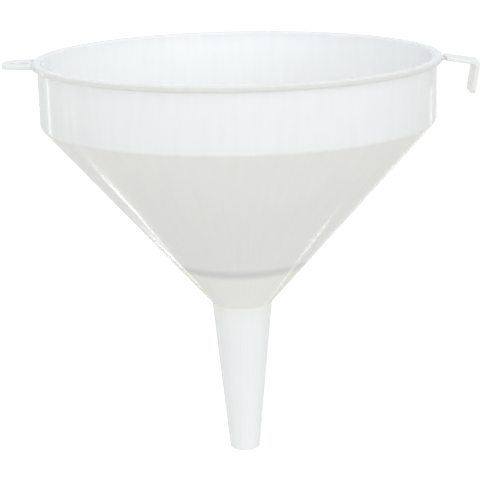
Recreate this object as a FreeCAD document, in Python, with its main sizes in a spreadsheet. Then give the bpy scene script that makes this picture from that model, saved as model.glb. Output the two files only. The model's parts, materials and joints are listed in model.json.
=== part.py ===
import FreeCAD, Part
import Sketcher
import math
import os

# Large kitchen canning funnel, modelled spout down. Millimetres and degrees, +Z up.
# The origin is the centre of the spout's open end. The hanging tab points to -X, the hook to +X.

TOLERANCE = 0.01

DIMENSIONS = {
    # funnel body, outside
    "rim_od": 256.0,            # flange round the mouth
    "collar_od": 250.0,         # near-cylindrical collar, just under the flange
    "collar_foot_od": 249.8,    # collar where it meets the cone (moulding draft)
    "total_height": 263.0,      # spout end to rim top
    "collar_height": 39.3,      # rim top to the knee between collar and cone
    "spout_length": 102.0,      # spout end to neck
    "neck_od": 39.0,
    "tip_od": 19.4,
    # funnel body, walls
    "wall": 2.2,
    "spout_wall": 1.8,
    "flange_thick": 3.3,
    "flange_root_radius": 2.4,
    "rim_edge_radius": 0.9,
    "knee_radius": 4.0,
    "neck_radius": 3.0,
    "tip_edge_radius": 0.5,
    "ledge_height": 129.0,      # seat of the strainer above the spout end
    "ledge_width": 1.6,
    # hanging tab
    "tab_reach": 19.5,          # beyond the flange
    "tab_root_width": 28.0,
    "tab_tip_width": 19.0,
    "tab_thick": 3.2,
    "tab_drop": 1.6,            # tab top below rim top
    "tab_corner_radius": 6.0,
    "hole_dia": 9.5,
    "hole_offset": 8.7,         # hole centre beyond the flange
    "root_bury": 4.0,           # how far tab and lug roots reach in under the flange
    # lug, hinge film and hook
    "lug_reach": 0.6,           # beyond the flange
    "lug_width": 18.0,
    "lug_drop": 2.3,            # lug top below rim top
    "film_span": 2.0,           # lug face to hook root, across the fold line
    "film_thick": 0.5,
    "film_width": 16.0,
    "hook_thick": 2.5,          # lug and arm
    "hook_leg_thick": 3.0,
    "hook_reach": 22.3,         # fold line to the hook's outer face
    "hook_root_width": 18.0,
    "hook_width": 20.0,
    "hook_flare": 6.0,          # fold line to where the hook has its full width
    "hook_leg": 20.5,           # arm top to leg end
    "hook_corner_radius": 1.2,
    "hook_inner_radius": 0.8,
    "hook_end_radius": 3.0,
    "hook_droop": 9.0,          # how far the free hook hangs below level
    # lift-out strainer
    "seat_clearance": 0.35,
    "ring_floor": 2.0,
    "ring_height": 5.0,
    "ring_lip": 1.5,
    "ring_inner_dia": 72.0,
    "spoke_width": 2.0,
    "spoke_height": 2.0,
    "spoke_bury": 1.0,          # how far a spoke's end reaches into the ring
    "hub_dia": 14.0,
    "hub_height": 2.6,
    "brace_dia": 42.0,          # middle line of the brace ring between hub and outer ring
    "brace_width": 2.0,
    "fin_width": 13.0,
    "fin_height": 15.0,
    "fin_thick": 2.2,
    "fin_corner_radius": 4.0,
    "mesh_dia": 75.2,
    "mesh_thick": 0.4,
}
SPOKE_COUNT = 8

# Lengths and slopes that follow from the driving dimensions.
CONE_HEIGHT = "(Dims.total_height - Dims.collar_height - Dims.spout_length)"
KNEE_HEIGHT = "(Dims.total_height - Dims.collar_height)"
CONE_SLOPE = f"((Dims.collar_foot_od - Dims.neck_od) / 2 / {CONE_HEIGHT})"
SPOUT_SLOPE = "((Dims.neck_od - Dims.tip_od) / 2 / Dims.spout_length)"
CONE_WALL_ACROSS = f"(Dims.wall * sqrt(1 + {CONE_SLOPE}^2))"
MOUTH_RADIUS = "(Dims.collar_od / 2 - Dims.wall)"
COLLAR_FOOT_INNER = "(Dims.collar_foot_od / 2 - Dims.wall)"
KNEE_INNER_HEIGHT = (f"(Dims.spout_length + ({COLLAR_FOOT_INNER} - Dims.neck_od / 2"
                     f" + {CONE_WALL_ACROSS}) / {CONE_SLOPE})")
LEDGE_OUTER = (f"(Dims.neck_od / 2 + {CONE_SLOPE} * (Dims.ledge_height - Dims.spout_length)"
               f" - {CONE_WALL_ACROSS})")
LEDGE_INNER = f"({LEDGE_OUTER} - Dims.ledge_width)"
OUTLET_RADIUS = "(Dims.tip_od / 2 - Dims.spout_wall)"
NECK_INNER_HEIGHT = (f"(({CONE_SLOPE} * Dims.ledge_height + {OUTLET_RADIUS} - {LEDGE_INNER})"
                     f" / ({CONE_SLOPE} - {SPOUT_SLOPE}))")
NECK_INNER_RADIUS = f"({OUTLET_RADIUS} + {SPOUT_SLOPE} * {NECK_INNER_HEIGHT})"
FLANGE_UNDERSIDE = "(Dims.total_height - Dims.flange_thick)"
FOLD_X = "(Dims.rim_od / 2 + Dims.lug_reach + Dims.film_span / 2)"
FOLD_Z = "(Dims.total_height - Dims.lug_drop - Dims.hook_thick + Dims.film_thick / 2)"


doc = FreeCAD.newDocument("canning_funnel")


def make_sheet():
    sheet = doc.addObject("Spreadsheet::Sheet", "Dims")
    for row, (alias, size) in enumerate(DIMENSIONS.items(), start=1):
        sheet.set(f"A{row}", alias)
        sheet.set(f"B{row}", str(size))
        sheet.setAlias(f"B{row}", alias)
    doc.recompute()
    return sheet


sheet = make_sheet()


def value(expression):
    """Number that an expression on the sheet gives."""
    result = sheet.evalExpression(expression)
    return float(getattr(result, "Value", result))


def bind(item, property_name, expression):
    item.setExpression(property_name, expression)


def make_body(label):
    body = doc.addObject("PartDesign::Body", label)
    body.Label = label
    return body


def polygon_sketch(body, name, plane_role, corners, height="0"):
    """Closed polygon on one of the body's origin planes, each corner bound to two expressions."""
    plane = next(f for f in body.Origin.OriginFeatures if f.Role == plane_role)
    sketch = body.newObject("Sketcher::SketchObject", name)
    sketch.AttachmentSupport = (plane, "")
    sketch.MapMode = "FlatFace"
    bind(sketch, "AttachmentOffset.Base.z", height)
    points = [FreeCAD.Vector(value(across), value(along), 0) for across, along in corners]
    count = len(points)
    for index in range(count):
        line = Part.LineSegment(points[index], points[(index + 1) % count])
        sketch.addGeometry(line, False)
    for index in range(count):
        following = (index + 1) % count
        sketch.addConstraint(Sketcher.Constraint("Coincident", index, 2, following, 1))
    for index, (across, along) in enumerate(corners):
        place_corner(sketch, index, "DistanceX", points[index].x, across)
        place_corner(sketch, index, "DistanceY", points[index].y, along)
    doc.recompute()
    return sketch


def place_corner(sketch, index, direction, distance, expression):
    """Tie the start of one line to the sketch origin; an exact zero ties it to the axis."""
    if abs(distance) < 1e-9:
        axis = -2 if direction == "DistanceX" else -1
        sketch.addConstraint(Sketcher.Constraint("PointOnObject", index, 1, axis))
        return
    constraint = Sketcher.Constraint(direction, -1, 1, index, 1, distance)
    number = sketch.addConstraint(constraint)
    bind(sketch, f"Constraints[{number}]", expression)


def revolve(body, name, sketch):
    feature = body.newObject("PartDesign::Revolution", name)
    feature.Profile = sketch
    feature.ReferenceAxis = (sketch, ["V_Axis"])
    feature.Angle = 360
    doc.recompute()
    return feature


def pad(body, name, sketch, length, reverse=False, midplane=False):
    feature = body.newObject("PartDesign::Pad", name)
    feature.Profile = sketch
    bind(feature, "Length", length)
    feature.Reversed = reverse
    feature.Midplane = midplane
    doc.recompute()
    return feature


def fillet(body, name, radius, edge_test):
    """Round the edges of the body's tip that pass the test."""
    base = body.Tip
    edges = enumerate(base.Shape.Edges, start=1)
    names = [f"Edge{number}" for number, edge in edges if edge_test(edge)]
    if not names:
        raise RuntimeError(f"{name}: no edge to round")
    feature = body.newObject("PartDesign::Fillet", name)
    feature.Base = (base, names)
    bind(feature, "Radius", radius)
    doc.recompute()
    return feature


def is_ring(edge, radius, height):
    """True for a full circle round Z with this radius at this height."""
    curve = edge.Curve
    if not isinstance(curve, Part.Circle) or not edge.isClosed():
        return False
    centred = math.hypot(curve.Center.x, curve.Center.y) < TOLERANCE
    level = abs(curve.Center.z - height) < TOLERANCE
    return centred and level and abs(curve.Radius - radius) < TOLERANCE


def rings(*places):
    """Edge test for any of the given (radius, height) expression pairs."""
    numbers = [(value(radius), value(height)) for radius, height in places]
    return lambda edge: any(is_ring(edge, radius, height) for radius, height in numbers)


def runs_along(edge, direction):
    """True for a straight edge parallel to a row axis."""
    if not isinstance(edge.Curve, Part.Line):
        return False
    return abs(abs(edge.Curve.Direction.dot(direction)) - 1) < 1e-6


# ---------------------------------------------------------------- funnel body

def funnel_shell(body):
    """Flange, collar, cone, strainer ledge and spout as one turned section."""
    section = [
        ("Dims.tip_od / 2", "0"),
        ("Dims.neck_od / 2", "Dims.spout_length"),
        ("Dims.collar_foot_od / 2", KNEE_HEIGHT),
        ("Dims.collar_od / 2", FLANGE_UNDERSIDE),
        ("Dims.rim_od / 2", FLANGE_UNDERSIDE),
        ("Dims.rim_od / 2", "Dims.total_height"),
        (MOUTH_RADIUS, "Dims.total_height"),
        (COLLAR_FOOT_INNER, KNEE_INNER_HEIGHT),
        (LEDGE_OUTER, "Dims.ledge_height"),
        (LEDGE_INNER, "Dims.ledge_height"),
        (NECK_INNER_RADIUS, NECK_INNER_HEIGHT),
        (OUTLET_RADIUS, "0"),
    ]
    sketch = polygon_sketch(body, "shell_section", "XZ_Plane", section)
    revolve(body, "shell", sketch)
    fillet(body, "knee_rounding", "Dims.knee_radius", rings(
        ("Dims.collar_foot_od / 2", KNEE_HEIGHT), (COLLAR_FOOT_INNER, KNEE_INNER_HEIGHT)))
    fillet(body, "neck_rounding", "Dims.neck_radius", rings(
        ("Dims.neck_od / 2", "Dims.spout_length"), (NECK_INNER_RADIUS, NECK_INNER_HEIGHT)))
    fillet(body, "flange_root", "Dims.flange_root_radius", rings(
        ("Dims.collar_od / 2", FLANGE_UNDERSIDE)))
    fillet(body, "tip_edges", "Dims.tip_edge_radius", rings(
        ("Dims.tip_od / 2", "0"), (OUTLET_RADIUS, "0")))


def hanging_tab(body):
    """Flat tab beyond the flange at -X, narrowing outwards, with a round hole."""
    root = "-(Dims.rim_od / 2 - Dims.root_bury)"
    end = "-(Dims.rim_od / 2 + Dims.tab_reach)"
    top = "Dims.total_height - Dims.tab_drop"
    outline = [
        (root, "-Dims.tab_root_width / 2"),
        (root, "Dims.tab_root_width / 2"),
        (end, "Dims.tab_tip_width / 2"),
        (end, "-Dims.tab_tip_width / 2"),
    ]
    sketch = polygon_sketch(body, "tab_outline", "XY_Plane", outline, top)
    pad(body, "tab", sketch, "Dims.tab_thick", reverse=True)
    end_x = value(end)
    fillet(body, "tab_corners", "Dims.tab_corner_radius", lambda edge: (
        runs_along(edge, FreeCAD.Vector(0, 0, 1)) and abs(edge.Vertexes[0].X - end_x) < TOLERANCE))
    drill_tab(body, top)


def drill_tab(body, top):
    plane = next(f for f in body.Origin.OriginFeatures if f.Role == "XY_Plane")
    sketch = body.newObject("Sketcher::SketchObject", "hole_outline")
    sketch.AttachmentSupport = (plane, "")
    sketch.MapMode = "FlatFace"
    bind(sketch, "AttachmentOffset.Base.z", top)
    centre = FreeCAD.Vector(-value("Dims.rim_od / 2 + Dims.hole_offset"), 0, 0)
    circle = Part.Circle(centre, FreeCAD.Vector(0, 0, 1), value("Dims.hole_dia / 2"))
    sketch.addGeometry(circle, False)
    sketch.addConstraint(Sketcher.Constraint("PointOnObject", 0, 3, -1))
    place = sketch.addConstraint(Sketcher.Constraint("DistanceX", -1, 1, 0, 3, centre.x))
    bind(sketch, f"Constraints[{place}]", "-(Dims.rim_od / 2 + Dims.hole_offset)")
    width = sketch.addConstraint(Sketcher.Constraint("Diameter", 0, circle.Radius * 2))
    bind(sketch, f"Constraints[{width}]", "Dims.hole_dia")
    doc.recompute()
    before = body.Tip.Shape.Volume
    pocket = body.newObject("PartDesign::Pocket", "hanging_hole")
    pocket.Profile = sketch
    bind(pocket, "Length", "Dims.tab_thick")
    doc.recompute()
    expected = math.pi * value("Dims.hole_dia / 2") ** 2 * value("Dims.tab_thick")
    if abs(before - pocket.Shape.Volume - expected) > 1:
        raise RuntimeError("the hanging hole isn't cut through the tab")


def hook_lug(body):
    """Short lug on the flange at +X that the hinge film grows from."""
    root = "Dims.rim_od / 2 - Dims.root_bury"
    face = "Dims.rim_od / 2 + Dims.lug_reach"
    top = "Dims.total_height - Dims.lug_drop"
    outline = [
        (root, "-Dims.lug_width / 2"),
        (face, "-Dims.lug_width / 2"),
        (face, "Dims.lug_width / 2"),
        (root, "Dims.lug_width / 2"),
    ]
    sketch = polygon_sketch(body, "lug_outline", "XY_Plane", outline, top)
    pad(body, "lug", sketch, "Dims.hook_thick", reverse=True)


def make_funnel_body():
    body = make_body("funnel_body")
    funnel_shell(body)
    hanging_tab(body)
    hook_lug(body)
    fillet(body, "rim_edges", "Dims.rim_edge_radius", rings(
        ("Dims.rim_od / 2", "Dims.total_height"), (MOUTH_RADIUS, "Dims.total_height")))
    return body


# ---------------------------------------------------------------- hook and its hinge film

def make_hook():
    """L-shaped strap. Its own origin is the fold line, so its Placement is the droop."""
    body = make_body("hook")
    root = "Dims.film_span / 2"
    underside = "-Dims.film_thick / 2"
    arm_outline = [
        (root, "-Dims.hook_root_width / 2"),
        ("Dims.hook_flare", "-Dims.hook_width / 2"),
        ("Dims.hook_reach", "-Dims.hook_width / 2"),
        ("Dims.hook_reach", "Dims.hook_width / 2"),
        ("Dims.hook_flare", "Dims.hook_width / 2"),
        (root, "Dims.hook_root_width / 2"),
    ]
    arm = polygon_sketch(body, "arm_outline", "XY_Plane", arm_outline, underside)
    pad(body, "arm", arm, "Dims.hook_thick")
    leg_inner = "Dims.hook_reach - Dims.hook_leg_thick"
    leg_outline = [
        (leg_inner, "-Dims.hook_width / 2"),
        ("Dims.hook_reach", "-Dims.hook_width / 2"),
        ("Dims.hook_reach", "Dims.hook_width / 2"),
        (leg_inner, "Dims.hook_width / 2"),
    ]
    arm_top = "Dims.hook_thick - Dims.film_thick / 2"
    leg = polygon_sketch(body, "leg_outline", "XY_Plane", leg_outline, arm_top)
    pad(body, "leg", leg, "Dims.hook_leg", reverse=True)
    round_hook(body, arm_top, underside, leg_inner)
    bind(body, "Placement.Base.x", FOLD_X)
    bind(body, "Placement.Base.z", FOLD_Z)
    body.Placement.Rotation = FreeCAD.Rotation(FreeCAD.Vector(0, 1, 0), value("Dims.hook_droop"))
    bind(body, "Placement.Rotation.Angle", "Dims.hook_droop")
    return body


def round_hook(body, arm_top, underside, leg_inner):
    outer_x, top_z = value("Dims.hook_reach"), value(arm_top)
    inner_x, under_z = value(leg_inner), value(underside)
    end_z = value(f"{arm_top} - Dims.hook_leg")
    across, outward = FreeCAD.Vector(0, 1, 0), FreeCAD.Vector(1, 0, 0)

    def crosses(edge, x, z):
        start = edge.Vertexes[0]
        here = abs(start.X - x) < TOLERANCE and abs(start.Z - z) < TOLERANCE
        return here and runs_along(edge, across)

    fillet(body, "outer_corner", "Dims.hook_corner_radius", lambda edge: crosses(edge, outer_x, top_z))
    fillet(body, "inner_corner", "Dims.hook_inner_radius", lambda edge: crosses(edge, inner_x, under_z))
    fillet(body, "leg_end_corners", "Dims.hook_end_radius", lambda edge: (
        runs_along(edge, outward) and abs(edge.Vertexes[0].Z - end_z) < TOLERANCE))


def film_half(name, start):
    """Half of the hinge web, from the fold line outwards or inwards."""
    half = doc.addObject("Part::Box", name)
    bind(half, "Length", "Dims.film_span / 2")
    bind(half, "Width", "Dims.film_width")
    bind(half, "Height", "Dims.film_thick")
    centre = FreeCAD.Vector(value(start), -value("Dims.film_width / 2"), -value("Dims.film_thick / 2"))
    half.Placement.Base = centre
    return half


def make_hinge_film():
    """Thin web bent by the droop angle about its fold line, round on the outside of the bend."""
    inner_half = film_half("film_inner", "-Dims.film_span / 2")
    outer_half = film_half("film_outer", "0")
    droop = FreeCAD.Placement(
        FreeCAD.Vector(), FreeCAD.Rotation(FreeCAD.Vector(0, 1, 0), value("Dims.hook_droop")))
    outer_half.Placement = droop.multiply(outer_half.Placement)
    fold = doc.addObject("Part::Cylinder", "film_fold")
    bind(fold, "Radius", "Dims.film_thick / 2")
    bind(fold, "Height", "Dims.film_width")
    fold.Placement = FreeCAD.Placement(
        FreeCAD.Vector(0, value("Dims.film_width / 2"), 0),
        FreeCAD.Rotation(FreeCAD.Vector(1, 0, 0), 90))
    film = doc.addObject("Part::MultiFuse", "hook_hinge_film")
    film.Shapes = [inner_half, outer_half, fold]
    film.Label = "hook_hinge_film"
    bind(film, "Placement.Base.x", FOLD_X)
    bind(film, "Placement.Base.z", FOLD_Z)
    return film


# ---------------------------------------------------------------- strainer

def make_strainer_frame():
    """Moulded ring that sits on the ledge, with spokes, a brace ring, a hub and a lift fin."""
    body = make_body("strainer_frame")
    foot_radius = f"({LEDGE_OUTER} - Dims.seat_clearance)"
    top_radius = f"({foot_radius} + {CONE_SLOPE} * Dims.ring_height)"
    floor_top = "Dims.ring_floor"
    ring = [
        ("Dims.ring_inner_dia / 2", "0"),
        (foot_radius, "0"),
        (top_radius, "Dims.ring_height"),
        (f"{top_radius} - Dims.ring_lip", "Dims.ring_height"),
        (f"{foot_radius} + {CONE_SLOPE} * Dims.ring_floor - Dims.ring_lip", floor_top),
        ("Dims.ring_inner_dia / 2", floor_top),
    ]
    revolve(body, "ring", polygon_sketch(body, "ring_section", "XZ_Plane", ring))
    spoke_end = "Dims.ring_inner_dia / 2 + Dims.spoke_bury"
    spoke = [
        ("0", "-Dims.spoke_width / 2"),
        (spoke_end, "-Dims.spoke_width / 2"),
        (spoke_end, "Dims.spoke_width / 2"),
        ("0", "Dims.spoke_width / 2"),
    ]
    spoke_sketch = polygon_sketch(body, "spoke_outline", "XY_Plane", spoke)
    first_spoke = pad(body, "spoke", spoke_sketch, "Dims.spoke_height")
    spokes = body.newObject("PartDesign::PolarPattern", "spokes")
    spokes.Originals = [first_spoke]
    spokes.Axis = (spoke_sketch, ["N_Axis"])
    spokes.Angle = 360
    spokes.Occurrences = SPOKE_COUNT
    body.Tip = spokes
    doc.recompute()
    hub = [
        ("0", "0"),
        ("Dims.hub_dia / 2", "0"),
        ("Dims.hub_dia / 2", "Dims.hub_height"),
        ("0", "Dims.hub_height"),
    ]
    revolve(body, "hub", polygon_sketch(body, "hub_section", "XZ_Plane", hub))
    brace_inner = "(Dims.brace_dia - Dims.brace_width) / 2"
    brace_outer = "(Dims.brace_dia + Dims.brace_width) / 2"
    brace = [
        (brace_inner, "0"),
        (brace_outer, "0"),
        (brace_outer, "Dims.spoke_height"),
        (brace_inner, "Dims.spoke_height"),
    ]
    revolve(body, "brace", polygon_sketch(body, "brace_section", "XZ_Plane", brace))
    lift_fin(body)
    bind(body, "Placement.Base.z", "Dims.ledge_height")
    return body


def lift_fin(body):
    """Upright fin on the hub that fingers pull the strainer out by."""
    outline = [
        ("-Dims.fin_width / 2", "0"),
        ("Dims.fin_width / 2", "0"),
        ("Dims.fin_width / 2", "Dims.fin_height"),
        ("-Dims.fin_width / 2", "Dims.fin_height"),
    ]
    sketch = polygon_sketch(body, "fin_outline", "XZ_Plane", outline)
    pad(body, "fin", sketch, "Dims.fin_thick", midplane=True)
    top = value("Dims.fin_height")
    fillet(body, "fin_corners", "Dims.fin_corner_radius", lambda edge: (
        runs_along(edge, FreeCAD.Vector(0, 1, 0)) and abs(edge.Vertexes[0].Z - top) < TOLERANCE))


def make_strainer_mesh():
    """Disc that holds the woven mesh, welded to the frame's underside."""
    mesh = doc.addObject("Part::Cylinder", "strainer_mesh")
    mesh.Label = "strainer_mesh"
    bind(mesh, "Radius", "Dims.mesh_dia / 2")
    bind(mesh, "Height", "Dims.mesh_thick")
    bind(mesh, "Placement.Base.z", "Dims.ledge_height - Dims.mesh_thick")
    return mesh


# ---------------------------------------------------------------- build, check and write

def check(subparts):
    for item in doc.Objects:
        if "Invalid" in item.State or "Error" in item.State:
            raise RuntimeError(f"{item.Label} failed: {item.State}")
    for item in subparts:
        if item.Shape.isNull() or not item.Shape.isValid():
            raise RuntimeError(f"{item.Label} has no valid shape")


def main():
    subparts = [
        make_funnel_body(),
        make_hook(),
        make_hinge_film(),
        make_strainer_frame(),
        make_strainer_mesh(),
    ]
    doc.recompute()
    check(subparts)
    os.makedirs("parts", exist_ok=True)
    for item in subparts:
        item.Shape.exportStep(os.path.join("parts", f"{item.Label}.step"))
        print(item.Label, len(item.Shape.Solids), "solid,", round(item.Shape.Volume), "mm3")
        print("   ", item.Shape.BoundBox)


main()
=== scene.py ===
import json
import math

import bmesh
import bpy
from mathutils import Matrix, Vector


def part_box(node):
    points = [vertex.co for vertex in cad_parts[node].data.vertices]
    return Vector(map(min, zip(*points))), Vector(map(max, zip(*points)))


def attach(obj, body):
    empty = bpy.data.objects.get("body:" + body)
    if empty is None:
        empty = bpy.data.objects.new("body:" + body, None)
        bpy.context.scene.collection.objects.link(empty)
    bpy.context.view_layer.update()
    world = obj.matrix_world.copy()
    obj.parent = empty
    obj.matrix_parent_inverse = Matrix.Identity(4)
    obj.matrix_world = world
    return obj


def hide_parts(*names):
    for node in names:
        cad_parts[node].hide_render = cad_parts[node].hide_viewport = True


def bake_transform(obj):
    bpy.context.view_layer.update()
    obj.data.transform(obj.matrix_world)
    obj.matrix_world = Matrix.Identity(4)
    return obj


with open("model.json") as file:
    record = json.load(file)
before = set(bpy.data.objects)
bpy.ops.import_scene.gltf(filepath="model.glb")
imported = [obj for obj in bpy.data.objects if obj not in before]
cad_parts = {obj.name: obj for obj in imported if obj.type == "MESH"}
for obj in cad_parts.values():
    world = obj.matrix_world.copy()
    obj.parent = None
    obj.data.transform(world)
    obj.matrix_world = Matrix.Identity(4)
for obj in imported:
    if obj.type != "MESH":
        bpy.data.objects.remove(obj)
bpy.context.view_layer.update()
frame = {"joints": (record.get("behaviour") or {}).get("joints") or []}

# Looks of the canning funnel. Metres, +Z up, the same frame as the CAD part: the origin is the centre
# of the spout's open end, the hanging tab points to -X and the hook to +X.

BODY_LOW, BODY_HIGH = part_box("funnel_body")
MM = 0.001

# ---------------------------------------------------------------- sizes

RIM_TOP = BODY_HIGH.z
RIM_RADIUS = BODY_HIGH.y
FLANGE_THICK = 3.3 * MM
FLANGE_UNDERSIDE = RIM_TOP - FLANGE_THICK
COLLAR_RADIUS = 125.0 * MM
COLLAR_FOOT_RADIUS = 124.9 * MM
COLLAR_HEIGHT = 39.3 * MM
KNEE_HEIGHT = RIM_TOP - COLLAR_HEIGHT
SPOUT_LENGTH = 102.0 * MM
NECK_RADIUS = 19.5 * MM
TIP_RADIUS = 9.7 * MM
WALL = 2.2 * MM
SPOUT_WALL = 1.8 * MM
LEDGE_HEIGHT = 129.0 * MM
LEDGE_WIDTH = 1.6 * MM
KNEE_BEND = 4.0 * MM
NECK_BEND = 3.0 * MM
FLANGE_ROOT_BEND = 2.4 * MM
RIM_EDGE = 0.9 * MM
SMALL_EDGE = 0.7 * MM
LEDGE_EDGE = 0.4 * MM
LUG_AND_TAB_ROOT = 124.5 * MM       # radius where the tab's and the lug's plates start, inside the flange

CONE_SLOPE = (COLLAR_FOOT_RADIUS - NECK_RADIUS) / (KNEE_HEIGHT - SPOUT_LENGTH)
SPOUT_SLOPE = (NECK_RADIUS - TIP_RADIUS) / SPOUT_LENGTH
CONE_WALL_ACROSS = WALL * math.hypot(1, CONE_SLOPE)
OUTLET_RADIUS = TIP_RADIUS - SPOUT_WALL
COLLAR_FOOT_INNER = COLLAR_FOOT_RADIUS - WALL
KNEE_INNER_HEIGHT = SPOUT_LENGTH + (COLLAR_FOOT_INNER - NECK_RADIUS + CONE_WALL_ACROSS) / CONE_SLOPE
LEDGE_OUTER = NECK_RADIUS + CONE_SLOPE * (LEDGE_HEIGHT - SPOUT_LENGTH) - CONE_WALL_ACROSS
LEDGE_INNER = LEDGE_OUTER - LEDGE_WIDTH
NECK_INNER_HEIGHT = (CONE_SLOPE * LEDGE_HEIGHT + OUTLET_RADIUS - LEDGE_INNER) / (CONE_SLOPE - SPOUT_SLOPE)
NECK_INNER_RADIUS = OUTLET_RADIUS + SPOUT_SLOPE * NECK_INNER_HEIGHT

TAB_END = -BODY_LOW.x
TAB_ROOT_HALF = 14.0 * MM
TAB_TIP_HALF = 9.5 * MM
TAB_THICK = 3.2 * MM
TAB_DROP = 1.6 * MM
TAB_TOP = RIM_TOP - TAB_DROP
TAB_FLARE = 7.0 * MM
HOLE_RADIUS = 4.75 * MM
HOLE_CENTRE = 136.7 * MM

FOLD = Vector(next(j for j in frame["joints"] if j["name"] == "hook_fold")["pos_m"])
FILM_HALF_SPAN = 1.0 * MM
FILM_THICK = 0.5 * MM
FILM_HALF_WIDTH = 8.0 * MM
HOOK_THICK = 2.5 * MM
LEG_THICK = 3.0 * MM
HOOK_REACH = 22.3 * MM
HOOK_ROOT_HALF = 9.0 * MM
HOOK_HALF_WIDTH = 10.0 * MM
HOOK_FLARE = 6.0 * MM
HOOK_LEG = 20.5 * MM
HOOK_OUTER_BEND = 1.2 * MM
HOOK_INNER_BEND = 0.8 * MM
HOOK_END_RADIUS = 3.0 * MM
HOOK_EDGE = 0.35 * MM
HOOK_DROOP = math.radians(9)
LUG_HALF_WIDTH = 9.0 * MM
LUG_FLARE = 4.0 * MM

SPOKE_COUNT = 8
SPOKE_HALF = 1.0 * MM
PLATE_THICK = 2.0 * MM
RING_INNER = 36.0 * MM
RING_FOOT = LEDGE_OUTER - 0.35 * MM
RING_HEIGHT = 5.0 * MM
RING_LIP = 1.5 * MM
HUB_RADIUS = 7.0 * MM
HUB_HEIGHT = 2.6 * MM
BRACE_INNER = 20.0 * MM
BRACE_OUTER = 22.0 * MM
FIN_HALF_WIDTH = 6.5 * MM
FIN_HEIGHT = 15.0 * MM
FIN_THICK = 2.2 * MM
WEAVE_RADIUS = 37.4 * MM
WEAVE_PITCH = 1.25 * MM
WIRE_RADIUS = 0.13 * MM

TURN_STEPS = 288        # faces round the funnel
ARC_STEP = math.radians(11)


# ---------------------------------------------------------------- mesh helpers

def round_corners(corners):
    """Closed outline of (x, y) points from (x, y, radius) corners, each corner replaced by an arc."""
    points = []
    count = len(corners)
    for index, (x, y, radius) in enumerate(corners):
        here = Vector((x, y))
        before = Vector(corners[index - 1][:2]) - here
        after = Vector(corners[(index + 1) % count][:2]) - here
        if radius <= 0:
            points.append(here)
            continue
        half = before.angle(after) / 2
        reach = min(radius / math.tan(half), 0.48 * before.length, 0.48 * after.length)
        radius = reach * math.tan(half)
        centre = here + (before.normalized() + after.normalized()).normalized() * radius / math.sin(half)
        start = here + before.normalized() * reach - centre
        end = here + after.normalized() * reach - centre
        turn = start.angle(end)
        steps = max(2, math.ceil(turn / ARC_STEP))
        sense = 1 if start.x * end.y - start.y * end.x > 0 else -1
        for step in range(steps + 1):
            points.append(centre + Matrix.Rotation(sense * turn * step / steps, 2) @ start)
    return points


def object_from_bmesh(name, bm):
    bmesh.ops.remove_doubles(bm, verts=bm.verts, dist=1e-7)
    bmesh.ops.dissolve_degenerate(bm, edges=bm.edges, dist=1e-7)
    bmesh.ops.recalc_face_normals(bm, faces=bm.faces)
    mesh = bpy.data.meshes.new(name)
    bm.to_mesh(mesh)
    bm.free()
    piece = bpy.data.objects.new(name, mesh)
    bpy.context.scene.collection.objects.link(piece)
    return piece


def lathe(name, section, steps=TURN_STEPS, base=0.0):
    """Closed section of (radius, height) points turned about the Z axis."""
    bm = bmesh.new()
    rings = []
    for step in range(steps):
        angle = 2 * math.pi * step / steps
        side = Vector((math.cos(angle), math.sin(angle), 0))
        spots = [side * radius + Vector((0, 0, base + height)) for radius, height in section]
        rings.append([bm.verts.new(spot) for spot in spots])
    count = len(section)
    for step in range(steps):
        ring, following = rings[step], rings[(step + 1) % steps]
        for index in range(count):
            after = (index + 1) % count
            bm.faces.new((ring[index], following[index], following[after], ring[after]))
    return object_from_bmesh(name, bm)


def plate(name, outlines, bottom, thickness, edge_radius):
    """Flat plate with holes and rounded edges, lying level. The first outline is the outside."""
    curve = bpy.data.curves.new(name, "CURVE")
    curve.dimensions = "2D"
    curve.fill_mode = "BOTH"
    curve.extrude = thickness / 2 - edge_radius
    curve.bevel_depth = edge_radius
    curve.bevel_resolution = 2
    curve.offset = -edge_radius
    for outline in outlines:
        spline = curve.splines.new("POLY")
        spline.points.add(len(outline) - 1)
        for point, (x, y) in zip(spline.points, outline):
            point.co = (x, y, 0, 1)
        spline.use_cyclic_u = True
    holder = bpy.data.objects.new(name, curve)
    bpy.context.scene.collection.objects.link(holder)
    bpy.context.view_layer.update()
    mesh = bpy.data.meshes.new_from_object(holder.evaluated_get(bpy.context.evaluated_depsgraph_get()))
    bpy.data.objects.remove(holder)
    bm = bmesh.new()
    bm.from_mesh(mesh)
    bmesh.ops.translate(bm, verts=bm.verts, vec=(0, 0, bottom + thickness / 2))
    bpy.data.meshes.remove(mesh)
    return object_from_bmesh(name, bm)


def strap(name, stations):
    """Strap with a rounded rectangular section.

    A station is a centre, a normal, a half width and a half thickness.
    """
    bm = bmesh.new()
    rings = []
    for centre, normal, half_width, half_thick in stations:
        corner = min(half_thick, half_width) * 0.45
        section = round_corners([
            (-half_width, -half_thick, corner), (half_width, -half_thick, corner),
            (half_width, half_thick, corner), (-half_width, half_thick, corner)])
        rings.append([bm.verts.new(centre + Vector((0, x, 0)) + normal * y) for x, y in section])
    for ring, following in zip(rings, rings[1:]):
        for index in range(len(ring)):
            after = (index + 1) % len(ring)
            bm.faces.new((ring[index], ring[after], following[after], following[index]))
    bm.faces.new(rings[0])
    bm.faces.new(rings[-1])
    return object_from_bmesh(name, bm)


def unite(name, pieces):
    """One closed mesh from overlapping closed meshes."""
    base = pieces[0]
    for other in pieces[1:]:
        join = base.modifiers.new("join", "BOOLEAN")
        join.operation = "UNION"
        join.solver = "EXACT"
        join.object = other
    bpy.context.view_layer.update()
    mesh = bpy.data.meshes.new_from_object(base.evaluated_get(bpy.context.evaluated_depsgraph_get()))
    for piece in pieces:
        bpy.data.objects.remove(piece)
    bm = bmesh.new()
    bm.from_mesh(mesh)
    bpy.data.meshes.remove(mesh)
    return object_from_bmesh(name, bm)


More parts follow.
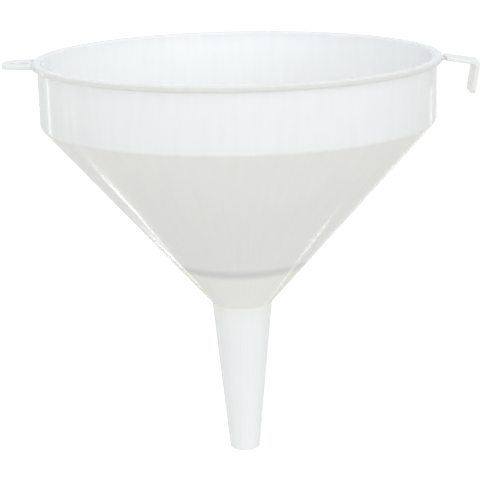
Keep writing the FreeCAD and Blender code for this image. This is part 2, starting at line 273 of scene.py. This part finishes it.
def smooth(piece, crease_degrees=34):
    piece.data.shade_smooth()
    piece.data.set_sharp_from_angle(angle=math.radians(crease_degrees))


# ---------------------------------------------------------------- funnel body

def make_funnel():
    section = round_corners([
        (TIP_RADIUS, 0, SMALL_EDGE),
        (NECK_RADIUS, SPOUT_LENGTH, NECK_BEND),
        (COLLAR_FOOT_RADIUS, KNEE_HEIGHT, KNEE_BEND),
        (COLLAR_RADIUS, FLANGE_UNDERSIDE, FLANGE_ROOT_BEND),
        (RIM_RADIUS, FLANGE_UNDERSIDE, SMALL_EDGE),
        (RIM_RADIUS, RIM_TOP, RIM_EDGE),
        (COLLAR_RADIUS - WALL, RIM_TOP, RIM_EDGE),
        (COLLAR_FOOT_INNER, KNEE_INNER_HEIGHT, KNEE_BEND),
        (LEDGE_OUTER, LEDGE_HEIGHT, LEDGE_EDGE),
        (LEDGE_INNER, LEDGE_HEIGHT, LEDGE_EDGE),
        (NECK_INNER_RADIUS, NECK_INNER_HEIGHT, NECK_BEND),
        (OUTLET_RADIUS, 0, SMALL_EDGE),
    ])
    funnel = unite("funnel_moulding", [lathe("shell", section), make_tab(), make_lug()])
    smooth(funnel)
    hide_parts("funnel_body")
    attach(funnel, "funnel")
    return funnel


def on_rim(half_width, inset=0.05 * MM):
    """X of a point just inside the flange's edge at this distance from the XZ plane."""
    return math.sqrt((RIM_RADIUS - inset) ** 2 - half_width ** 2)


def make_tab():
    """Tab outline: flared root fillets, sides that narrow outwards, a round-cornered end and the hole."""
    flare = TAB_ROOT_HALF + TAB_FLARE
    upper = [
        (-LUG_AND_TAB_ROOT, flare, 0),
        (-on_rim(flare), flare, 0),
        (-on_rim(TAB_ROOT_HALF), TAB_ROOT_HALF, 5.0 * MM),
        (-TAB_END, TAB_TIP_HALF, 6.0 * MM),
    ]
    lower = [(x, -y, radius) for x, y, radius in reversed(upper)]
    hole = [(-HOLE_CENTRE + HOLE_RADIUS * math.cos(a), HOLE_RADIUS * math.sin(a))
            for a in (2 * math.pi * step / 48 for step in range(48))]
    return plate("tab", [round_corners(upper + lower), hole], TAB_TOP - TAB_THICK, TAB_THICK, 0.55 * MM)


def make_lug():
    """Short flat lug on the flange that carries the hinge web."""
    flare = LUG_HALF_WIDTH + LUG_FLARE
    face = FOLD.x - FILM_HALF_SPAN
    lower = [
        (LUG_AND_TAB_ROOT, -flare, 0),
        (on_rim(flare), -flare, 0),
        (on_rim(LUG_HALF_WIDTH), -LUG_HALF_WIDTH, 1.6 * MM),
        (face, -LUG_HALF_WIDTH, 0.6 * MM),
    ]
    upper = [(x, -y, radius) for x, y, radius in reversed(lower)]
    bottom = FOLD.z - FILM_THICK / 2
    return plate("lug", [round_corners(lower + upper)], bottom, HOOK_THICK, 0.3 * MM)


# ---------------------------------------------------------------- hook and film

def from_fold(along, up, droop=HOOK_DROOP):
    """Point on the hook, from its distance along the arm and its height above the fold line."""
    return FOLD + Matrix.Rotation(droop, 3, "Y") @ Vector((along, 0, up))


def hook_half_width(along):
    share = (along - FILM_HALF_SPAN) / (HOOK_FLARE - FILM_HALF_SPAN)
    share = min(1.0, max(0.0, share))
    ease = share * share * (3 - 2 * share)
    return HOOK_ROOT_HALF + (HOOK_HALF_WIDTH - HOOK_ROOT_HALF) * ease


def hook_stations():
    """Stations of the hook's centre line: arm, bend and leg, with rounded ends."""
    half = HOOK_THICK / 2
    leg_half = LEG_THICK / 2
    arm_height = half - FILM_THICK / 2
    leg_along = HOOK_REACH - leg_half
    leg_end = arm_height + half - HOOK_LEG
    path = []
    for turn in (0, 30, 60, 90):
        inset = HOOK_EDGE * (1 - math.sin(math.radians(turn)))
        along = FILM_HALF_SPAN + HOOK_EDGE * (1 - math.cos(math.radians(turn)))
        path.append((along, arm_height, 0, hook_half_width(along) - inset, half - inset))
    for step in range(1, 13):
        along = FILM_HALF_SPAN + HOOK_EDGE + step / 12 * (HOOK_FLARE - FILM_HALF_SPAN)
        path.append((along, arm_height, 0, hook_half_width(along), half))
    for turn in range(0, 91, 10):
        cut = Vector((1 - math.sin(math.radians(turn)), 1 - math.cos(math.radians(turn))))
        outer = Vector((HOOK_REACH, arm_height + half)) - HOOK_OUTER_BEND * cut
        inner = Vector((HOOK_REACH - LEG_THICK, arm_height - half)) - HOOK_INNER_BEND * cut
        across = outer - inner
        angle = math.atan2(across.x, across.y)
        path.append((*(outer + inner) / 2, angle, HOOK_HALF_WIDTH, across.length / 2))
    path.append((leg_along, leg_end + HOOK_END_RADIUS + 4 * MM, math.pi / 2, HOOK_HALF_WIDTH, leg_half))
    for turn in range(0, 91, 10):
        angle = math.radians(turn)
        inset = HOOK_END_RADIUS * (1 - math.cos(angle))
        up = leg_end + HOOK_END_RADIUS * (1 - math.sin(angle))
        thin = max(0.0, HOOK_EDGE - (up - leg_end))
        path.append((leg_along, up, math.pi / 2, HOOK_HALF_WIDTH - inset, leg_half - thin * 0.7))
    stations = []
    for along, up, angle, half_width, half_thick in path:
        normal = Matrix.Rotation(HOOK_DROOP + angle, 3, "Y") @ Vector((0, 0, 1))
        stations.append((from_fold(along, up), normal, half_width, half_thick))
    return stations


def make_hook():
    hook = strap("hook_strap", hook_stations())
    smooth(hook, 40)
    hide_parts("hook")
    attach(hook, "hook_arm")
    return hook


def make_film():
    """Thin web that grows from the lug and the hook with fillets and bends at the fold line."""
    bury = 0.25 * MM
    steps = 16
    stations = []
    for step in range(steps + 1):
        share = 2 * step / steps - 1
        along = share * (FILM_HALF_SPAN + bury)
        droop = HOOK_DROOP * (share + 1) / 2
        thick = FILM_THICK / 2 + 0.22 * MM * share ** 4
        centre = from_fold(along, thick - FILM_THICK / 2, HOOK_DROOP if share > 0 else 0)
        normal = Matrix.Rotation(droop, 3, "Y") @ Vector((0, 0, 1))
        stations.append((centre, normal, FILM_HALF_WIDTH, thick))
    film = strap("hinge_web", stations)
    smooth(film)
    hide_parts("hook_hinge_film")
    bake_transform(film)
    return film


# ---------------------------------------------------------------- strainer

def ring_arc(radius, start, end, steps):
    angles = [start + (end - start) * step / steps for step in range(steps + 1)]
    return [(radius * math.cos(a), radius * math.sin(a)) for a in angles]


def window(inner, outer, first_spoke, corner):
    """Outline of one opening between two spokes and two rings."""
    pitch = 2 * math.pi / SPOKE_COUNT
    lead_out, lead_in = math.asin(SPOKE_HALF / outer), math.asin(SPOKE_HALF / inner)
    far = ring_arc(outer, first_spoke + lead_out, first_spoke + pitch - lead_out, 12)
    near = ring_arc(inner, first_spoke + pitch - lead_in, first_spoke + lead_in, 6)
    corners = []
    for arc in (far, near):
        for index, (x, y) in enumerate(arc):
            corners.append((x, y, corner if index in (0, len(arc) - 1) else 0))
    return round_corners(corners)


def make_strainer_frame():
    outline = ring_arc(RING_INNER + 2.2 * MM, 0, 2 * math.pi * 143 / 144, 143)
    windows = []
    for spoke in range(SPOKE_COUNT):
        start = 2 * math.pi * spoke / SPOKE_COUNT
        windows.append(window(HUB_RADIUS, BRACE_INNER, start, 0.8 * MM))
        windows.append(window(BRACE_OUTER, RING_INNER, start, 1.0 * MM))
    grid = plate("grid", [outline] + windows, LEDGE_HEIGHT, PLATE_THICK, 0.3 * MM)
    top = RING_FOOT + CONE_SLOPE * RING_HEIGHT
    ring_section = round_corners([
        (RING_INNER + 1.2 * MM, 0, 0.2 * MM),
        (RING_FOOT, 0, 0.3 * MM),
        (top, RING_HEIGHT, 0.5 * MM),
        (top - RING_LIP, RING_HEIGHT, 0.5 * MM),
        (RING_FOOT + CONE_SLOPE * PLATE_THICK - RING_LIP, PLATE_THICK, 0.6 * MM),
        (RING_INNER + 1.2 * MM, PLATE_THICK, 0.2 * MM),
    ])
    ring = lathe("ring", ring_section, 192, LEDGE_HEIGHT)
    hub_section = round_corners([
        (0, 0, 0), (HUB_RADIUS, 0, 0.3 * MM), (HUB_RADIUS, HUB_HEIGHT, 0.6 * MM), (0, HUB_HEIGHT, 0)])
    hub = lathe("hub", hub_section, 96, LEDGE_HEIGHT)
    strainer = unite("strainer_basket", [grid, ring, hub, make_fin()])
    smooth(strainer)
    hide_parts("strainer_frame")
    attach(strainer, "strainer")
    return strainer


def make_fin():
    outline = round_corners([
        (-FIN_HALF_WIDTH, 0, 0), (FIN_HALF_WIDTH, 0, 0),
        (FIN_HALF_WIDTH, FIN_HEIGHT, 4.0 * MM), (-FIN_HALF_WIDTH, FIN_HEIGHT, 4.0 * MM)])
    fin = plate("fin", [outline], -FIN_THICK / 2, FIN_THICK, 0.5 * MM)
    fin.data.transform(Matrix.Translation((0, 0, LEDGE_HEIGHT)) @ Matrix.Rotation(math.pi / 2, 4, "X"))
    return fin


def add_wire(bm, points, radius, sides=5):
    """Thin tube along points, with a flat cap on each end."""
    rings = []
    for index, point in enumerate(points):
        along = (points[min(index + 1, len(points) - 1)] - points[max(index - 1, 0)]).normalized()
        side = along.cross(Vector((0, 0, 1))).normalized()
        up = side.cross(along)
        angles = [2 * math.pi * step / sides for step in range(sides)]
        spots = [point + (side * math.cos(a) + up * math.sin(a)) * radius for a in angles]
        rings.append([bm.verts.new(spot) for spot in spots])
    for ring, following in zip(rings, rings[1:]):
        for index in range(sides):
            after = (index + 1) % sides
            bm.faces.new((ring[index], ring[after], following[after], following[index]))
    bm.faces.new(rings[0])
    bm.faces.new(rings[-1])


def make_weave():
    """Plain weave cut to a disc: every wire passes over and under the wires that cross it."""
    low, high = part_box("strainer_mesh")
    middle = (low.z + high.z) / 2
    swing = WIRE_RADIUS * 0.5
    reach = int(WEAVE_RADIUS / WEAVE_PITCH)
    bm = bmesh.new()
    for direction in (0, 1):
        for number in range(-reach, reach + 1):
            offset = number * WEAVE_PITCH
            half = math.sqrt(max(0.0, WEAVE_RADIUS ** 2 - offset ** 2))
            steps = max(2, round(2 * half / (WEAVE_PITCH / 4)))
            points = []
            for step in range(steps + 1):
                along = -half + 2 * half * step / steps
                phase = math.pi * (along / WEAVE_PITCH + number + direction)
                height = middle + swing * math.cos(phase)
                spot = (along, offset, height) if direction == 0 else (offset, along, height)
                points.append(Vector(spot))
            add_wire(bm, points, WIRE_RADIUS)
    weave = object_from_bmesh("woven_screen", bm)
    weave.data.shade_smooth()
    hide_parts("strainer_mesh")
    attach(weave, "strainer")
    return weave


def make_weld_band():
    """Flat band where the screen's edge is melted into the ring's underside."""
    low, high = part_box("strainer_mesh")
    section = round_corners([
        (RING_INNER - 0.4 * MM, low.z, 0.1 * MM), (high.x, low.z, 0.1 * MM),
        (high.x, high.z, 0.1 * MM), (RING_INNER - 0.4 * MM, high.z, 0.1 * MM)])
    band = lathe("screen_weld_band", section, 192)
    smooth(band)
    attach(band, "strainer")
    return band


# ---------------------------------------------------------------- materials

# Painted light and shade: the moulding is one plastic of one colour, and these base colours change from
# one part of the funnel to the next to stand in for how light falls on each part.
CONE_PAINTED_SHADE = (0.918, 0.918, 0.888, 1)
COLLAR_PAINTED_LIGHT = (0.905, 0.918, 0.930, 1)
NECK_PAINTED_LIGHT = (0.965, 0.965, 0.930, 1)
SPOUT_PAINTED_LIGHT = (0.970, 0.980, 0.992, 1)
# Painted shade on the flange's outer edge, where the thick rim lets less light through.
FLANGE_EDGE_PAINTED_SHADE = (0.800, 0.805, 0.785, 1)
# Painted shade on the tab and all else beyond the flange's edge.
TAB_PAINTED_SHADE = (0.905, 0.910, 0.920, 1)
# Painted light on the hook: lighter and warmer than the rest.
HOOK_PAINTED_LIGHT = (0.965, 0.955, 0.915, 1)


class Nodes:
    """Small wrapper that keeps a material's node code short."""

    def __init__(self, name):
        self.material = bpy.data.materials.new(name)
        self.material.use_nodes = True
        self.tree = self.material.node_tree
        self.shader = self.tree.nodes["Principled BSDF"]

    def add(self, kind, inputs=None, **settings):
        node = self.tree.nodes.new(kind)
        for key, setting in settings.items():
            setattr(node, key, setting)
        for key, source in (inputs or {}).items():
            if isinstance(source, bpy.types.NodeSocket):
                self.tree.links.new(source, node.inputs[key])
            else:
                node.inputs[key].default_value = source
        return node

    def link(self, output, socket_name):
        self.tree.links.new(output, self.shader.inputs[socket_name])

    def math(self, operation, first, second=0.0):
        node = self.add("ShaderNodeMath", {0: first, 1: second}, operation=operation)
        return node.outputs[0]

    def spread(self, source, low, high, to_low, to_high, smooth=False):
        kind = "SMOOTHSTEP" if smooth else "LINEAR"
        return self.add("ShaderNodeMapRange", {
            "Value": source, "From Min": low, "From Max": high, "To Min": to_low, "To Max": to_high},
            interpolation_type=kind).outputs["Result"]

    def blend(self, share, first, second, kind="MIX"):
        node = self.add("ShaderNodeMix", data_type="RGBA", blend_type=kind)
        for index, source in ((0, share), (6, first), (7, second)):
            if isinstance(source, bpy.types.NodeSocket):
                self.tree.links.new(source, node.inputs[index])
            else:
                node.inputs[index].default_value = source
        return node.outputs[2]


def round_axis(nodes):
    """Object coordinates, their parts, the radius, and coordinates wrapped round the funnel.

    The wrapped ones hold the angle as a point on a circle, and the height nearly as it is.
    """
    place = nodes.add("ShaderNodeTexCoord").outputs["Object"]
    parts = nodes.add("ShaderNodeSeparateXYZ", {"Vector": place})
    radius = nodes.math("SQRT", nodes.math(
        "ADD", nodes.math("MULTIPLY", parts.outputs["X"], parts.outputs["X"]),
        nodes.math("MULTIPLY", parts.outputs["Y"], parts.outputs["Y"])))
    safe = nodes.math("MAXIMUM", radius, 0.001)
    wrapped = nodes.add("ShaderNodeCombineXYZ", {
        "X": nodes.math("DIVIDE", parts.outputs["X"], safe),
        "Y": nodes.math("DIVIDE", parts.outputs["Y"], safe),
        "Z": nodes.math("MULTIPLY", parts.outputs["Z"], 1.2)}).outputs["Vector"]
    return place, parts.outputs, radius, wrapped


def natural_plastic():
    """Milky, translucent, glossy moulded plastic with faint flow lines and light scuffs."""
    nodes = Nodes("natural_plastic")
    place, parts, radius, wrapped = round_axis(nodes)
    height = parts["Z"]
    flow = nodes.add("ShaderNodeTexNoise", {
        "Vector": wrapped, "Scale": 26.0, "Detail": 4.0, "Roughness": 0.55}).outputs["Fac"]
    cloud = nodes.add("ShaderNodeTexNoise", {
        "Vector": place, "Scale": 22.0, "Detail": 3.0, "Roughness": 0.5}).outputs["Fac"]
    peel = nodes.add("ShaderNodeTexNoise", {
        "Vector": place, "Scale": 420.0, "Detail": 2.0, "Roughness": 0.5}).outputs["Fac"]
    scuff_place = nodes.add("ShaderNodeMapping", {
        "Vector": place, "Scale": (1.0, 1.0, 5.0)}).outputs["Vector"]
    scuff = nodes.add("ShaderNodeTexNoise", {
        "Vector": scuff_place, "Scale": 140.0, "Detail": 6.0, "Roughness": 0.7}).outputs["Fac"]

    # Painted light and shade by zone: a warm shaded cone, a cool lit collar, a lighter neck and spout,
    # and a darker flange edge.
    painted_light_and_shade = CONE_PAINTED_SHADE
    for source, low, high, colour in (
            (height, KNEE_HEIGHT - 4 * MM, KNEE_HEIGHT + 5 * MM, COLLAR_PAINTED_LIGHT),
            (height, LEDGE_HEIGHT + 6 * MM, LEDGE_HEIGHT - 2 * MM, NECK_PAINTED_LIGHT),
            (height, SPOUT_LENGTH + 3 * MM, SPOUT_LENGTH - 13 * MM, SPOUT_PAINTED_LIGHT),
            (radius, RIM_RADIUS - 1.6 * MM, RIM_RADIUS - 0.4 * MM, FLANGE_EDGE_PAINTED_SHADE)):
        painted_light_and_shade = nodes.blend(nodes.spread(source, low, high, 0.0, 1.0, smooth=True), painted_light_and_shade, colour)
    # Painted shade on everything past the flange's edge: the tab, the lug and the hook.
    tab_painted_shade_share = nodes.spread(radius, RIM_RADIUS + 0.2 * MM, RIM_RADIUS + 2.2 * MM, 0.0, 1.0)
    painted_light_and_shade = nodes.blend(tab_painted_shade_share, painted_light_and_shade, TAB_PAINTED_SHADE)
    # Painted light on the hook, past the fold line.
    hook_painted_light_share = nodes.spread(parts["X"], FOLD.x - 1 * MM, FOLD.x + 1 * MM, 0.0, 1.0)
    painted_light_and_shade = nodes.blend(hook_painted_light_share, painted_light_and_shade, HOOK_PAINTED_LIGHT)
    mottle = nodes.spread(cloud, 0.3, 0.7, 0.985, 1.0)
    streak = nodes.spread(flow, 0.3, 0.7, 0.975, 1.0)
    shade = nodes.math("MULTIPLY", mottle, streak)
    colour = nodes.blend(1.0, painted_light_and_shade, nodes.add("ShaderNodeCombineColor", {
        "Red": shade, "Green": shade, "Blue": shade}).outputs["Color"], kind="MULTIPLY")
    nodes.link(colour, "Base Color")
    nodes.link(nodes.spread(scuff, 0.35, 0.75, 0.07, 0.20), "Roughness")

    fine = nodes.add("ShaderNodeBump", {"Height": peel, "Strength": 0.05, "Distance": 0.2 * MM})
    wave = nodes.add("ShaderNodeBump", {
        "Height": flow, "Strength": 0.10, "Distance": 0.6 * MM, "Normal": fine.outputs["Normal"]})
    nodes.link(wave.outputs["Normal"], "Normal")
    shader = nodes.shader
    shader.inputs["IOR"].default_value = 1.49
    # Below the ledge the wall is lit from outside only, so little light spreads inside it.
    low, high = LEDGE_HEIGHT - 2 * MM, LEDGE_HEIGHT + 7 * MM
    nodes.link(nodes.spread(height, low, high, 0.05, 0.85), "Subsurface Weight")
    shader.inputs["Subsurface Radius"].default_value = (1.0, 0.98, 0.92)
    nodes.link(nodes.spread(height, low, high, 1.4 * MM, 5.0 * MM), "Subsurface Scale")
    return nodes.material


def strainer_plastic():
    """Opaque white moulding, satin, with fine grain and slight staining in random patches."""
    nodes = Nodes("strainer_plastic")
    place = nodes.add("ShaderNodeTexCoord").outputs["Object"]
    grain = nodes.add("ShaderNodeTexNoise", {
        "Vector": place, "Scale": 900.0, "Detail": 3.0, "Roughness": 0.6}).outputs["Fac"]
    cloud = nodes.add("ShaderNodeTexNoise", {
        "Vector": place, "Scale": 60.0, "Detail": 4.0, "Roughness": 0.55}).outputs["Fac"]
    stain = nodes.spread(cloud, 0.35, 0.7, 0.0, 1.0)
    colour = nodes.blend(stain, (0.86, 0.86, 0.85, 1), (0.80, 0.80, 0.775, 1))
    nodes.link(colour, "Base Color")
    nodes.link(nodes.spread(grain, 0.3, 0.7, 0.28, 0.4), "Roughness")
    bump = nodes.add("ShaderNodeBump", {"Height": grain, "Strength": 0.12, "Distance": 0.1 * MM})
    nodes.link(bump.outputs["Normal"], "Normal")
    nodes.shader.inputs["IOR"].default_value = 1.49
    nodes.shader.inputs["Subsurface Weight"].default_value = 0.3
    nodes.shader.inputs["Subsurface Scale"].default_value = 2.0 * MM
    return nodes.material


def screen_nylon():
    """Nylon monofilament: slightly yellow, glossy, each wire a little different."""
    nodes = Nodes("screen_nylon")
    place = nodes.add("ShaderNodeTexCoord").outputs["Object"]
    patch = nodes.add("ShaderNodeTexNoise", {
        "Vector": place, "Scale": 180.0, "Detail": 3.0, "Roughness": 0.6}).outputs["Fac"]
    shade = nodes.spread(patch, 0.35, 0.65, 0.0, 1.0)
    colour = nodes.blend(shade, (0.80, 0.80, 0.76, 1), (0.70, 0.70, 0.65, 1))
    nodes.link(colour, "Base Color")
    nodes.link(nodes.spread(patch, 0.3, 0.7, 0.22, 0.38), "Roughness")
    nodes.shader.inputs["IOR"].default_value = 1.53
    return nodes.material


def floor_paper():
    """White paper sweep with a trace of grain."""
    nodes = Nodes("floor_paper")
    place = nodes.add("ShaderNodeTexCoord").outputs["Object"]
    grain = nodes.add("ShaderNodeTexNoise", {
        "Vector": place, "Scale": 300.0, "Detail": 2.0, "Roughness": 0.5}).outputs["Fac"]
    nodes.link(nodes.blend(grain, (0.93, 0.93, 0.93, 1), (0.95, 0.95, 0.95, 1)), "Base Color")
    nodes.shader.inputs["Roughness"].default_value = 0.9
    nodes.shader.inputs["Specular IOR Level"].default_value = 0.1
    nodes.shader.inputs["Emission Color"].default_value = (1, 1, 1, 1)
    nodes.shader.inputs["Emission Strength"].default_value = 0.2
    return nodes.material


# ---------------------------------------------------------------- stage, lights and camera

FLOOR_DROP = 0.25       # the funnel hangs clear of the floor
FLOOR_HALF = 14.0

BACK_LIGHT_STRENGTH = 1.2
BACK_LIGHT_ELEVATION = 12

# Brightness of the even sky, high up and low down.
SKY_TOP = 0.79
SKY_BOTTOM = 0.80

# Panels in the sky: name, bearing from the front (left is negative), half width, lowest and highest
# elevation (degrees), extra brightness. The narrow ones are there for the streaks in the gloss.
PANELS = [
    ("collar_left", -138, 1.0, -30, -5, 1.4),
    ("collar_left_thin", -115, 0.8, -24, -5, 0.8),
    ("collar_left_pair", -107, 1.2, -24, -5, 0.6),
    ("collar_right", 146, 0.9, -30, -5, 1.0),
    ("collar_right_thin", 163, 0.7, -30, -5, 0.8),
    ("cone_left_high", -146.6, 0.7, -38.5, -35.2, 4.0),
    ("cone_left_middle", -149.6, 0.7, -37.6, -36.3, 4.0),
    ("cone_left_low", -158.6, 0.8, -31.5, -29.0, 3.0),
    ("cone_left_foot", -155.3, 0.8, -36.3, -33.0, 3.0),
    ("cone_right_high", 141.8, 0.7, -46.2, -43.5, 3.5),
    ("cone_right_low", 146.8, 0.7, -45.6, -43.0, 4.0),
    ("front", 0, 90, -40, 10, 0.12),
    ("key", 18, 35, 5, 55, 0.80),
    ("side_left", -95, 50, -45, 5, 0.13),
]


def make_floor():
    bm = bmesh.new()
    bmesh.ops.create_grid(bm, x_segments=8, y_segments=8, size=FLOOR_HALF)
    floor = object_from_bmesh("floor", bm)
    floor.location.z = -FLOOR_DROP
    floor.data.materials.append(floor_paper())
    floor.visible_diffuse = False
    floor.visible_glossy = False
    floor.visible_transmission = False


def sin_degrees(angle):
    return math.sin(math.radians(angle))


def make_sky():
    """Even studio light from all round, with brighter panels. The camera sees plain white."""
    world = bpy.data.worlds.new("studio")
    world.use_nodes = True
    tree = world.node_tree

    def add(kind, inputs=None, **settings):
        node = tree.nodes.new(kind)
        for key, setting in settings.items():
            setattr(node, key, setting)
        for key, source in (inputs or {}).items():
            if isinstance(source, bpy.types.NodeSocket):
                tree.links.new(source, node.inputs[key])
            else:
                node.inputs[key].default_value = source
        return node

    def calc(operation, first, second=0.0):
        return add("ShaderNodeMath", {0: first, 1: second}, operation=operation).outputs[0]

    def step(source, low, high):
        node = add("ShaderNodeMapRange", {"Value": source, "From Min": low, "From Max": high},
                   interpolation_type="SMOOTHSTEP")
        return node.outputs["Result"]

    place = add("ShaderNodeTexCoord").outputs["Generated"]
    toward = add("ShaderNodeSeparateXYZ", {"Vector": place}).outputs
    bearing = calc("ARCTAN2", toward["X"], calc("MULTIPLY", toward["Y"], -1.0))
    total = step(toward["Z"], -0.3, 0.5)
    total = calc("ADD", calc("MULTIPLY", total, SKY_TOP - SKY_BOTTOM), SKY_BOTTOM)
    for name, centre, half, lowest, highest, gain in PANELS:
        soft = math.radians(min(half, 4))
        across = calc("ABSOLUTE", calc("SUBTRACT", bearing, math.radians(centre)))
        inside = step(across, math.radians(half) + soft, math.radians(half) - soft * 0.5)
        edge = min(3, (highest - lowest) / 3)
        above = step(toward["Z"], sin_degrees(lowest - edge), sin_degrees(lowest + edge))
        below = step(toward["Z"], sin_degrees(highest + edge), sin_degrees(highest - edge))
        box = calc("MULTIPLY", calc("MULTIPLY", inside, above), below)
        total = calc("ADD", total, calc("MULTIPLY", box, gain))
    background = tree.nodes["Background"]
    hue = add("ShaderNodeMix", data_type="RGBA")
    tree.links.new(step(toward["Z"], -0.6, 0.2), hue.inputs[0])
    hue.inputs[6].default_value = (1.0, 0.995, 0.955, 1)
    hue.inputs[7].default_value = (0.965, 0.985, 1.0, 1)
    tree.links.new(hue.outputs[2], background.inputs["Color"])
    tree.links.new(total, background.inputs["Strength"])
    plain = add("ShaderNodeBackground", {"Color": (1, 1, 1, 1), "Strength": 1.0})
    seen = add("ShaderNodeLightPath").outputs["Is Camera Ray"]
    mixed = add("ShaderNodeMixShader", {0: seen, 1: background.outputs[0], 2: plain.outputs[0]})
    tree.links.new(mixed.outputs[0], tree.nodes["World Output"].inputs["Surface"])
    bpy.context.scene.world = world


def make_back_light():
    """Broad soft light from behind that shines through the wall and stays out of the gloss."""
    data = bpy.data.lights.new("back", "SUN")
    data.energy = BACK_LIGHT_STRENGTH
    data.angle = math.radians(30)
    light = bpy.data.objects.new("back", data)
    light.rotation_euler = (math.radians(90 - BACK_LIGHT_ELEVATION), 0, math.pi)
    light.visible_glossy = False
    bpy.context.scene.collection.objects.link(light)


# Camera distances in metres, angles in radians, lens in millimetres.
CAMERA_BACK = 0.9259
CAMERA_ABOVE_RIM = 0.1241
CAMERA_PITCH = 0.2579
CAMERA_YAW = -0.0007
CAMERA_ROLL = -0.0210
CAMERA_LENS = 110.6


def make_camera():
    data = bpy.data.cameras.new("camera")
    data.lens = CAMERA_LENS
    data.sensor_width = 36.0
    data.clip_end = 100.0
    camera = bpy.data.objects.new("camera", data)
    camera.location = (0, -CAMERA_BACK, RIM_TOP + CAMERA_ABOVE_RIM)
    aim = Matrix.Rotation(-CAMERA_YAW, 4, "Z") @ Matrix.Rotation(math.pi / 2 - CAMERA_PITCH, 4, "X")
    camera.rotation_euler = (aim @ Matrix.Rotation(CAMERA_ROLL, 4, "Z")).to_euler()
    bpy.context.scene.collection.objects.link(camera)
    bpy.context.scene.camera = camera


def main():
    bpy.context.scene.view_settings.view_transform = "Standard"
    make_camera()
    make_sky()
    make_back_light()
    make_floor()
    natural = natural_plastic()
    for piece in (make_funnel(), make_hook(), make_film()):
        piece.data.materials.append(natural)
    make_strainer_frame().data.materials.append(strainer_plastic())
    nylon = screen_nylon()
    for piece in (make_weave(), make_weld_band()):
        piece.data.materials.append(nylon)


main()
